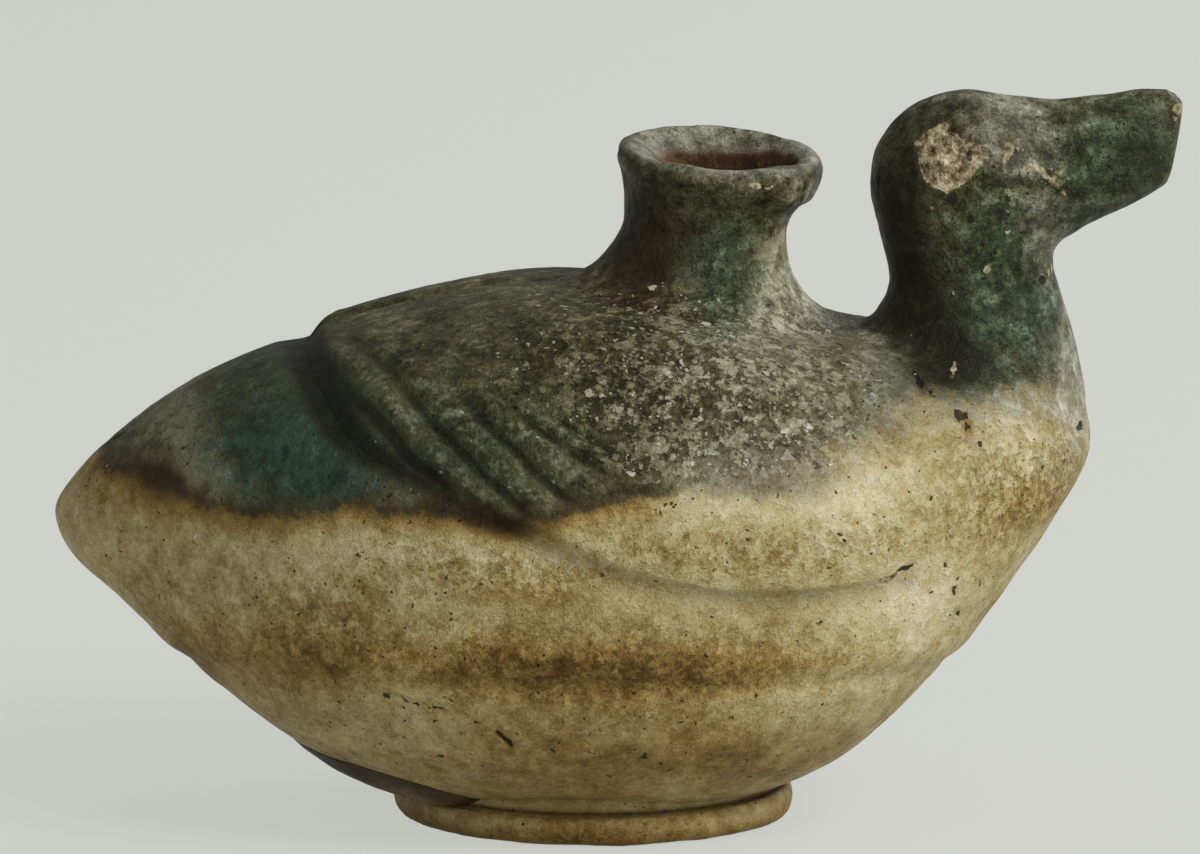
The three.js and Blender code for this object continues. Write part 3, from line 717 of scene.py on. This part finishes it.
def turned_rings(profile, step, sides, middle, base, above, endless):
    """Rings at even steps from radius, height, drape on the body, shift forward, and rise per mm forward
    and to the left."""
    rows = np.array([row + [0] * (6 - len(row)) for row in profile], float)
    if endless:
        rows = np.concatenate([rows, rows[:1]])
    fine = np.linspace(0, len(rows) - 1, PROFILE_POINTS * len(rows))
    columns = [along(column, fine) for column in rows.T]
    place = even_rows(np.stack(columns[:2], -1), step)
    place = place[:-1] if endless else place
    radius, height, drape, forward, rise_x, rise_y = (
        np.interp(place, np.arange(len(fine)), column)[:, None] for column in columns)
    turn = full_turn(sides)[None]
    x = middle + forward + radius * np.cos(turn)
    y = radius * np.sin(turn)
    level = body_height(x, y, above) - base
    return np.stack([x, y, height + drape * level + rise_x * radius * np.cos(turn) + rise_y * y], -1)


def grid_normals(rings, endless, outer):
    """Normals of a grid of rings: cross product of the steps round and along, outward at the outer rings."""
    around = np.roll(rings, -1, axis=1) - np.roll(rings, 1, axis=1)
    if endless:
        onward = np.roll(rings, -1, axis=0) - np.roll(rings, 1, axis=0)
    else:
        onward = np.gradient(rings, axis=0)
    normal = np.cross(around, onward)
    normal = normal / np.maximum(np.linalg.norm(normal, axis=-1, keepdims=True), TINY)
    arms = rings - rings.mean(axis=1, keepdims=True)
    return normal * np.sign(np.sum((arms * normal)[outer]))


foot_rings = turned_rings(FOOT_PROFILE, FOOT_STEP, FOOT_SIDES, FOOT_X, foot_belly, False, True)
widest = np.argsort(-np.ptp(foot_rings[..., 0], axis=1))[:WIDEST_RINGS]
foot_normals = grid_normals(foot_rings, True, widest)
foot_rings = foot_rings + foot_normals * (FOOT_UNREST * hand_relief(foot_rings))[..., None]
foot_rings[..., 2] = np.maximum(foot_rings[..., 2], 0)
foot_clay = glaze_material("worn_foot_clay", FOOT_TONES, 0.6)
ring_foot = closed_mesh(foot_rings, endless=True)


def foot_wear_and_light(p):
    """Paler a little at the lower edge and in two patches, where the glaze is worn thin, and up the face to
    the upper edge, which is worn and also painted light.
    """
    z = p[:, 2]
    edges = 0.15 * ease(0.9, 0.1, z) + 0.5 * ease(1.4, 3.4, z) + ease(4.4, 5, z)
    return edges + 0.6 * spot(p, (14, 2.2), (7, 1.2)) + 0.6 * spot(p, (-18, 2.8), (9, 1.4))


finish_piece(
    ring_foot, "ring_foot", "foot_clay", foot_clay, green=0, cream=foot_wear_and_light,
    brown=lambda p: (0.4 + 0.4 * spot(p, (-2, 2), (16, 9))) * ease(4.8, 4.2, p[:, 2]),
    # A line of painted shade in the crease where the foot meets the belly, and darker towards the bottom.
    dark=lambda p: 0.9 * bell(p[:, 2], 4.25, 0.3) + 0.3 * ease(1.8, 0.4, p[:, 2]),
)

# Foot clay pad: clay smeared with a thumb from the foot up the belly at the rear, where the foot was stuck.
# It thins to nothing at its edge and is dark with soot and old glaze, darkest along its rim, where the dark
# is painted shade of the crease against the belly.
PAD_REACH = 15
PAD_ROOT = 1.5
PAD_OVAL = 1.02  # over 1, so that the pad's two ends keep a little reach
PAD_MIDDLE = 1.05 * np.pi
PAD_HALF_ANGLE = 0.78
PAD_THICKNESS = 2.1
PAD_SINK = 0.8
PAD_ROWS = 56
PAD_COLUMNS = 130
FOOT_RADIUS = 26.5
THIN_EDGE = 0.04  # thickness of a plate where it has thinned out


def plate(base, normal, over, sink, stored=()):
    """Plate on a surface: its upper face stands over it and dips in all round, its lower face lies sunk."""
    over[[0, -1]] = -sink
    over[:, [0, -1]] = -sink
    lower = base - normal * sink
    shares = {zone: np.concatenate([share, 0 * share], axis=1) for zone, share in dict(stored).items()}
    rings = np.concatenate([base + normal * over[..., None], lower[:, ::-1]], axis=1)
    return closed_mesh(rings, stored=shares)


pad_out = np.linspace(0, 1, PAD_ROWS)[:, None]
pad_across = np.linspace(-1, 1, PAD_COLUMNS)[None]
pad_radius = FOOT_RADIUS - PAD_ROOT + (PAD_REACH + PAD_ROOT) * pad_out * np.sqrt(PAD_OVAL - pad_across ** 2)
pad_turn = PAD_MIDDLE + PAD_HALF_ANGLE * pad_across
pad_x = FOOT_X + pad_radius * np.cos(pad_turn)
pad_y = pad_radius * np.sin(pad_turn)
pad_station = station_of(pad_x)
pad_angle = np.arctan2(body_height(pad_x, pad_y, False) - along(GIRTH, pad_station), pad_y)
pad_base = body_point(pad_station, pad_angle)
pad_base = pad_base + body_normal(pad_station, pad_angle) * hand_relief(pad_base)[..., None]
pad_bulge = (1 - pad_out ** 2.5) * (1 - pad_across ** 4)
pad_over = THIN_EDGE + PAD_THICKNESS * pad_bulge * (0.85 + 0.25 * noise(pad_base, 5))
foot_clay_pad = plate(pad_base, body_normal(pad_station, pad_angle), pad_over, PAD_SINK)


def pad_rim(p):
    """0 in the middle of the pad's root at the foot and 1 along its free edge."""
    across = (np.arctan2(p[:, 1], p[:, 0] - FOOT_X) % (2 * np.pi) - PAD_MIDDLE) / PAD_HALF_ANGLE
    out = np.hypot(p[:, 0] - FOOT_X, p[:, 1]) - FOOT_RADIUS + PAD_ROOT
    out = out / (PAD_REACH + PAD_ROOT) / np.sqrt(PAD_OVAL - np.minimum(across ** 2, 1))
    return np.maximum(out, np.abs(across))


finish_piece(
    foot_clay_pad, "foot_clay_pad", "foot_clay", foot_clay,
    # Darkest along the rim: painted shade where the pad meets the belly.
    dark=lambda p: 0.4 + 0.3 * noise(p, 3) + 0.5 * ease(0.6, 0.9, pad_rim(p) + 0.08 * noise(p, 2)),
    brown=0.7,
)

# Wings: folded wings raised on the back in soft clay, with rows of feathers combed slantwise across them.
# Under grey-green glaze, flaked and iridescent towards the neck. The left wing mirrors the right one.
WING_FRONT_X = [18, 22, 27, 32, 35.5, 38.5, 40.3, 41.2, 41.6, 41.2, 40]
WING_FRONT_ANGLE = [89.4, 76, 62, 49, 37, 25, 13, 4, -2.5, -7.5, -11.5]
WING_ROWS = 160
WING_COLUMNS = 250
ROW_PACKING = 1.15  # over 1, so that rows are closer together at the rear edge
WING_THICKNESS = 1.5
SLACK_THINNER = 0.6  # share of its thickness that the rear edge loses forward
ROLL_WIDTH = 3.4
SHOULDER_THICKNESS = 0.5
WING_SINK = 1.1
FEATHER_GROOVES = [14.6, 19.4, 24.5, 29.2, 32.4, 35.4]  # slanting distances of the grooves
FEATHER_SPREAD = 0.3  # how much the front grooves lean away from the rear ones
SPREAD_Z = 49
FEATHER_HEIGHT = 0.5
GROOVE_NARROWS = 1.3
FEATHER_TOP = 49
FEATHER_TOP_FALL = 0.45
SEEN_UP = 0.986
SEEN_OUT = 0.167
MOUTH_ROOT = 18.5
MOUTH_CLEAR = 9
DUCK_ROOT = (46.5, 16.5, 17.5)  # middle, half length and half width of the root of the duck's neck
mantle_glaze = glaze_material("worn_mantle_glaze", rough=0.52)


def feathers(base, from_edge):
    """Wave of the feathers, from -1 in the grooves to 1 on the crests, and how strongly it was combed."""
    x = base[..., 0]
    high = SEEN_UP * base[..., 2] - SEEN_OUT * np.abs(base[..., 1])
    slanting = (x + high) / np.sqrt(2) + 0.5 * noise(base, 9) + 0.25 * noise(base, 3)
    slanting = slanting - FEATHER_SPREAD * (SPREAD_Z - high) * ease(24.5, 30, slanting)
    turn = 2 * np.pi * np.interp(slanting, FEATHER_GROOVES, np.arange(len(FEATHER_GROOVES)))
    wave = 1 - 2 * (0.5 + 0.5 * np.cos(turn)) ** GROOVE_NARROWS
    top = FEATHER_TOP - FEATHER_TOP_FALL * x - high + 1.5 * noise(base, 7)
    above = base[..., 2] - np.interp(x, GLAZE_LINE_X, GLAZE_LINE_Z) - 0.7 * np.maximum(slanting - 25, 0)
    combed = ease(34.5, 32, slanting) * ease(12.5, 14.2, slanting) * ease(1, 3.5, from_edge)
    combed = combed * ease(-1, 3, above) * ease(-1, 3, top) * (0.6 + 0.4 * ease(57, 50, high))
    combed = combed * ease(63.5, 60, high)
    return wave, combed * np.clip(1 + 0.3 * noise(base + 40, 8), 0.5, 1.2)


def wing(name, side):
    """A plate on the body that rises from its rear edge in a soft roll and sinks to the body elsewhere."""
    s = np.linspace(0, 1, WING_COLUMNS)[None]
    q = np.linspace(0, 1, WING_ROWS)[:, None] ** ROW_PACKING
    at = s * (len(WING_EDGE_X) - 1) + 0 * q
    x = along(WING_EDGE_X, at) * (1 - q) + along(WING_FRONT_X, at) * q
    angle = np.radians(along(WING_EDGE_ANGLE, at) * (1 - q) + along(WING_FRONT_ANGLE, at) * q)
    station = station_of(x)
    mirror = np.array([1, side, 1])
    base = body_point(station, angle) * mirror
    normal = body_normal(station, angle) * mirror
    from_edge = np.linalg.norm(base - base[:1], axis=-1)
    from_spine = np.linalg.norm(base - base[:, :1], axis=-1)
    wave, combed = feathers(base, from_edge)
    slack = ease(0.45, 0.8, s)
    thickness = WING_THICKNESS * (1 - SLACK_THINNER * slack) * (1 - q) + SHOULDER_THICKNESS * q
    width = ROLL_WIDTH + 1.4 * ease(0, 0.12, s) + 1.2 * slack + 0.6 * noise(base, 6)
    rounding = ease(0, 1, from_edge / width) ** (0.8 + 0.6 * slack)
    from_mouth = np.hypot(base[..., 0] - MOUTH_X, base[..., 1])
    from_duck = np.hypot((base[..., 0] - DUCK_ROOT[0]) / DUCK_ROOT[1], base[..., 1] / DUCK_ROOT[2])
    fade = ease(MOUTH_ROOT, MOUTH_ROOT + MOUTH_CLEAR, from_mouth) * ease(1, 1.5, from_duck)
    fade = fade * ease(1, 0.7, q) * ease(1, 0.86, s) * ease(0, 2.2, from_spine)
    over = THIN_EDGE + (thickness * rounding + FEATHER_HEIGHT * combed * wave) * fade
    # furrow darkens the feather grooves with dirt and painted shade; crest pales the crests with wear and
    # painted highlight.
    shares = {"furrow": combed * np.maximum(-wave, 0), "crest": combed * np.maximum(wave, 0) ** 3}
    piece = plate(base + normal * body_relief(base)[..., None], normal, over, WING_SINK, shares)
    carve(piece, ("DIFFERENCE", upright_hole(*mouth_hole)))
    finish_piece(piece, name, "mantle_glaze", mantle_glaze)


wing("right_wing", -1)
wing("left_wing", 1)

# Filling neck: a thrown, waisted neck with a thick, leaning lip, set on the back and smoothed out below.
# Dark green glaze, ashen in the dish, and rusty bare clay down the bore.
NECK_STEP = 0.36
NECK_SIDES = 240
NECK_SINK = 1.0
LIP_UNREST = 0.3
DISH_X = 14.4
DISH_RADIUS = 12.2
BORE_RIM = 9.7
CREST_Z = 89.3
CREST_FALL = (0.07, 0.11)  # down per mm forward, up per mm to the left
mouth_base = float(body_height(MOUTH_X, 0, True))
NECK_PROFILE = [
    [19.2, mouth_base + 0.06, 1], [17.4, mouth_base + 0.2, 1], [15.8, mouth_base + 0.75, 1],
    [14.2, mouth_base + 1.8, 1], [12.8, mouth_base + 3.3, 1], [11.5, mouth_base + 5.4, 0.8],
    [10.8, 79.6, 0.3, 0.3], [11.5, 82.9, 0, 1.1, -0.12], [12.6, 84.6, 0, 2, -0.13],
    [13.5, 87, 0, 2.2, -0.08, 0.05], [13.3, 88.6, 0, 2.2, -0.07, 0.09],
    [12.6, CREST_Z, 0, 2.2, -CREST_FALL[0], CREST_FALL[1]], [11.5, 89.1, 0, 2.5, -0.06, 0.09],
    [10.5, 88.5, 0, 2.9, -0.04, 0.05], [9.6, 87.7, 0, 3.2], [9, 86, 0, 2.6], [8.3, 80, 0, 0.8],
    [BORE_RADIUS, mouth_base - NECK_SINK, 1],
]
neck_rings = turned_rings(NECK_PROFILE, NECK_STEP, NECK_SIDES, MOUTH_X, mouth_base, True, False)
neck_normals = grid_normals(neck_rings, False, slice(0, len(neck_rings) // 3))
at_lip = ease(83, 87, neck_rings[..., 2])
uneven = hand_relief(neck_rings) + LIP_UNREST * at_lip * noise(neck_rings, 4) + marked(neck_rings, FLECKS)
neck_rings = neck_rings + neck_normals * uneven[..., None]
neck_rings = np.concatenate([neck_rings[[0]] - [0, 0, NECK_SINK], neck_rings])


def in_bore(p):
    """1 down the bore and 0 outside, with a ragged rim, for points in mm."""
    high = ease(78, 87, p[:, 2])
    reach = np.hypot(p[:, 0] - MOUTH_X - (DISH_X - MOUTH_X) * high, p[:, 1])
    return ease(BORE_RIM + 0.4, BORE_RIM - 0.5, reach + 0.9 * noise(p, 2.6)) * (reach < DISH_RADIUS)


def ashen(p):
    """1 on the crest of the lip and in the dish, 0 lower down."""
    crest = CREST_Z - CREST_FALL[0] * (p[:, 0] - MOUTH_X) + CREST_FALL[1] * p[:, 1]
    lip = 0.55 * ease(-1.1, 0.2, p[:, 2] - crest)
    dish = 0.8 * ease(DISH_RADIUS + 0.6, DISH_RADIUS - 1, np.hypot(p[:, 0] - MOUTH_X - 2.5, p[:, 1]))
    return lip + dish * ease(84, 87, p[:, 2]) + spots(p, SPOTS["ash"])


green_glaze = glaze_material("worn_green_glaze", rough=0.46, mottled=1.7)
filling_neck = closed_mesh(neck_rings, endless=True)
finish_piece(
    filling_neck, "filling_neck", "green_glaze", green_glaze,
    green=lambda p: 1 - in_bore(p), rust=in_bore, ash=ashen,
    cream=lambda p: spot(p, (5, 86), (4, 3)),
    brown=lambda p: ease(12, 2, p[:, 0]) * ease(86, 82, p[:, 2]),
)

# Duck's neck: a hollow neck of the same clay, its root smoothed into breast and back, under green glaze.
# Neck, head and bill are one run of sections: front and rear point in side view, half width and drape.
duck_base = float(body_height(46, 0, True))
DUCK_SECTIONS = np.array([
    [62.5, duck_base + 0.06, 30.4, duck_base + 0.04, 18.6, 1],
    [62.3, duck_base + 0.4, 31.5, duck_base + 0.15, 17.2, 1],
    [62.1, duck_base + 1.1, 32.6, duck_base + 0.5, 15.6, 1],
    [61.9, duck_base + 2.3, 33.6, duck_base + 1.4, 14, 0.95],
    [60.6, 67, 34.5, 67, 12.1, 0.55], [59, 70.1, 35.6, 70.1, 10.6, 0.15], [57.9, 73, 35.8, 73, 9.6, 0],
    [57.8, 75.2, 34.5, 78.5, 9.5, 0], [58.2, 76.2, 33.4, 84, 9.9, 0], [58.7, 76.8, 34.3, 90, 10, 0],
    [59.2, 77.2, 38.3, 94.8, 9.6, 0], [59.9, 77.6, 45.2, 97.2, 8.9, 0], [60.8, 78.1, 52.3, 96.5, 7.8, 0],
    [62.2, 79, 58.2, 95.8, 6.9, 0], [65, 80.4, 64.1, 96.3, 6.2, 0], [69, 82.4, 69.5, 97.3, 5.7, 0],
    [71.8, 84.2, 74.1, 97.4, 5.2, 0],
])
THROAT = 6  # section where the head begins
BILL_ROOT = 14  # section where the bill begins
DUCK_STEP = 0.3
DUCK_SIDES = 230
DUCK_POINTS = 400
BACK_SHARE = 0.75  # even steps are measured this much along the back, the rest along the front


def duck_rings(positions, inset=0.0, forward=0.0):
    """Oval rings along the run of sections: centre plus arm times cosine, and half width times sine."""
    fx, fz, rx, rz, width, drape = (along(column, positions)[:, None] for column in DUCK_SECTIONS.T)
    arm = np.stack([rx - fx, 0 * rx, rz - fz], -1) / 2
    length = np.linalg.norm(arm, axis=-1, keepdims=True)
    shrunk = arm * np.maximum(length - inset, 0) / length
    turn = full_turn(DUCK_SIDES)[None]
    points = np.stack([(fx + rx) / 2, 0 * rx, (fz + rz) / 2], -1) + shrunk * np.cos(turn)[..., None]
    points[..., 1] += np.maximum(width - inset, 0) * np.sin(turn)
    onward = np.stack([arm[..., 2], 0 * rx, -arm[..., 0]], -1) / length
    level = body_height(points[..., 0], points[..., 1], True) - duck_base
    points[..., 2] += drape * level
    return points + forward * onward


BALD_PLACE = (43.1, 88.7)  # middle of the patch behind the eye, seen from the side
BALD_REACH = (4.3, 4.2)
BALD_TAPER = 0.15
BALD_DEPTH = 0.4


def bald(points):
    """1 inside the ragged bald patch on the right cheek, which narrows downwards, and 0 outside."""
    x, z = points[..., 0] - BALD_PLACE[0], points[..., 2] - BALD_PLACE[1]
    away = np.hypot(x / (BALD_REACH[0] * np.clip(1 + BALD_TAPER * z, 0.2, 1.5)), z / BALD_REACH[1])
    away = away + 0.42 * noise(points, 2.4) + 0.2 * noise(points, 0.9)
    return ease(1.06, 0.9, away) * (points[..., 1] < 0)


def duck_positions(first, last):
    """Positions from one section to another at even steps."""
    span = np.linspace(first, last, DUCK_POINTS)
    back = np.stack([along(DUCK_SECTIONS[:, k], span) for k in (2, 3)], -1)
    front = np.stack([along(DUCK_SECTIONS[:, k], span) for k in (0, 1)], -1)
    place = even_rows(BACK_SHARE * back + (1 - BACK_SHARE) * front, DUCK_STEP)
    return np.interp(place, np.arange(len(span)), span)


duck_places = np.concatenate([duck_positions(0, THROAT)[:-1], duck_positions(THROAT, BILL_ROOT)[:-1],
                              duck_positions(BILL_ROOT, len(DUCK_SECTIONS) - 1)])
duck_skin = duck_rings(duck_places)
duck_normals = grid_normals(duck_skin, False, slice(None))
duck_relief = hand_relief(duck_skin) - bald(duck_skin) * (BALD_DEPTH + 0.25 * noise(duck_skin, 1.1))
duck_relief = duck_relief - marked(duck_skin, MARKS) + marked(duck_skin, FLECKS)
duck_skin = duck_skin + duck_normals * duck_relief[..., None]
throat_row = np.argmin(np.abs(duck_places - THROAT))
bill_row = np.argmin(np.abs(duck_places - BILL_ROOT))

DUCK_BORE_ROWS = [
    [53.9, 40.1, 5.7, 73, 0], [54.4, 39, 6.2, duck_base + 2.5, 0.5],
    [54.6, 38.6, 6.4, duck_base - 0.8, 1], [57.5, 34.5, 11.5, duck_base - 0.9, 1],
]


def oval_rings(rows):
    """Level oval rings from front, rear, half width, height and drape on the body."""
    front, rear, width, height, drape = (np.array(column, float)[:, None] for column in zip(*rows))
    turn = full_turn(DUCK_SIDES)[None]
    x = (front + rear) / 2 - (front - rear) / 2 * np.cos(turn)
    y = width * np.sin(turn)
    return np.stack([x, y, height + drape * (body_height(x, y, True) - duck_base)], -1)


duck_root = duck_skin[[0]] - [0, 0, 1]
duck_neck = closed_mesh(np.concatenate([
    duck_root, duck_skin[:throat_row + 1], oval_rings(DUCK_BORE_ROWS)]), endless=True)
finish_piece(duck_neck, "duck_neck", "green_glaze", green_glaze)

# Duck's head: modelled in one with the crown and cheeks, hollow where the neck opens into it.
# Green glaze, greyish on the forehead, with a bald patch behind the eye where the glaze has come off.
HEAD_POCKET = [[THROAT, 4], [THROAT + 1, 4], [THROAT + 2.2, 5], [THROAT + 2.9, 7], [THROAT + 3.1, 9.5]]
pocket = [duck_rings([position], inset) for position, inset in HEAD_POCKET[::-1]]
duck_head = closed_mesh(capped(np.concatenate([*pocket, duck_skin[throat_row:bill_row + 1]])))
finish_piece(
    duck_head, "duck_head", "green_glaze", green_glaze,
    green=1, loss=lambda p: bald(p) + FLECK_GAIN * marked(p, FLECKS),
)

# Bill: flattened from side to side, with a blunt slanting end, its upper corner chipped.
# Dark green glaze, pale along the chip.
BILL_EDGE = [[0.3, 0.4], [0.9, 0.8], [1.8, 1], [3.2, 1.1], [5.2, 1.2]]  # inset and how far forward
CHIP_FACING = np.array([0.6, 0, 0.8])
CHIP_AT = 121.3  # how far out the chip lies
CHIP_UNREST = 0.3


def chipped(points):
    """Moves points that stand out past the chip back onto it, a little unevenly."""
    past = points @ CHIP_FACING - CHIP_AT - CHIP_UNREST * noise(points, 1.6)
    return points - np.maximum(past, 0)[..., None] * CHIP_FACING


bill_end = [duck_rings([len(DUCK_SECTIONS) - 1], inset, forward) for inset, forward in BILL_EDGE]
bill = closed_mesh(chipped(capped(np.concatenate([duck_skin[bill_row:], *bill_end]))))
finish_piece(bill, "bill", "green_glaze", green_glaze, green=1)

# Stage: a plain pale floor under soft studio light, large lamps on the right and a weak one on the left.
# What the camera and glossy surfaces see of the floor is evened out, with the shadow left in.
FLOOR_SIZE = 4.0
FLOOR_TONE = "#d2d4ce"
EVENED = 0.8
WORLD_TONE = "#eef0ee"
WORLD_STRENGTH = 0.32
floor_mesh = bpy.data.meshes.new("floor")
corners = [(x * FLOOR_SIZE, y * FLOOR_SIZE, 0) for x, y in ((-1, -1), (1, -1), (1, 1), (-1, 1))]
floor_mesh.from_pydata(corners, [], [(0, 1, 2, 3)])
floor = add_object("floor", floor_mesh)
paper, sheet = bare_material("pale_paper")
rays = put(sheet, "LightPath").outputs
seen = Signal(rays["Is Camera Ray"]).maths("MAXIMUM", rays["Is Glossy Ray"])
lit = put(sheet, "BsdfDiffuse", Color=linear(FLOOR_TONE)).outputs[0]
even = put(sheet, "Emission", Color=linear(FLOOR_TONE), Strength=1).outputs[0]
both = put(sheet, "MixShader", _0=EVENED * seen, _1=lit, _2=even).outputs[0]
put(sheet, "OutputMaterial", Surface=both)
floor_mesh.materials.append(paper)

world = bpy.data.worlds.new("studio")
world.use_nodes = True
sky = world.node_tree.nodes["Background"]
sky.inputs["Color"].default_value = linear(WORLD_TONE)
sky.inputs["Strength"].default_value = WORLD_STRENGTH
bpy.context.scene.world = world


def lamp(name, place, aim, size, power):
    """Square area lamp of this size in metres and power in watts at a place, turned to face another."""
    light = bpy.data.lights.new(name, "AREA")
    light.size = size
    light.energy = power
    holder = add_object(name, light)
    holder.location = place
    holder.rotation_euler = (Vector(aim) - Vector(place)).to_track_quat("-Z", "Y").to_euler()


lamp("key_lamp", (0.95, -0.75, 1.0), (0, 0, 0.04), 0.7, 19)
lamp("fill_lamp", (-1.2, -1.2, 0.6), (0, 0, 0.04), 1.2, 2)
lamp("rim_lamp", (0.9, 1.0, 0.8), (0, 0, 0.06), 0.9, 9)

# Camera: far off and a little above, where it sees the lip of the mouth as the narrow oval that it is.
CAMERA_DISTANCE = 1.5
CAMERA_RISE = np.radians(9.6)
CAMERA_AIM = (-0.00253, 0, 0.0519)
SENSOR_WIDTH = 36
SEEN_WIDTH = 0.16  # metres across the picture at the aim
camera_data = bpy.data.cameras.new("camera")
camera_data.sensor_width = SENSOR_WIDTH
camera_data.lens = SENSOR_WIDTH * CAMERA_DISTANCE / SEEN_WIDTH
camera = add_object("camera", camera_data)
towards_camera = np.array([0, -np.cos(CAMERA_RISE), np.sin(CAMERA_RISE)])
camera.location = CAMERA_AIM + CAMERA_DISTANCE * towards_camera
camera.rotation_euler = (np.pi / 2 - CAMERA_RISE, 0, 0)
bpy.context.scene.camera = camera
bpy.context.scene.view_settings.view_transform = "Standard"
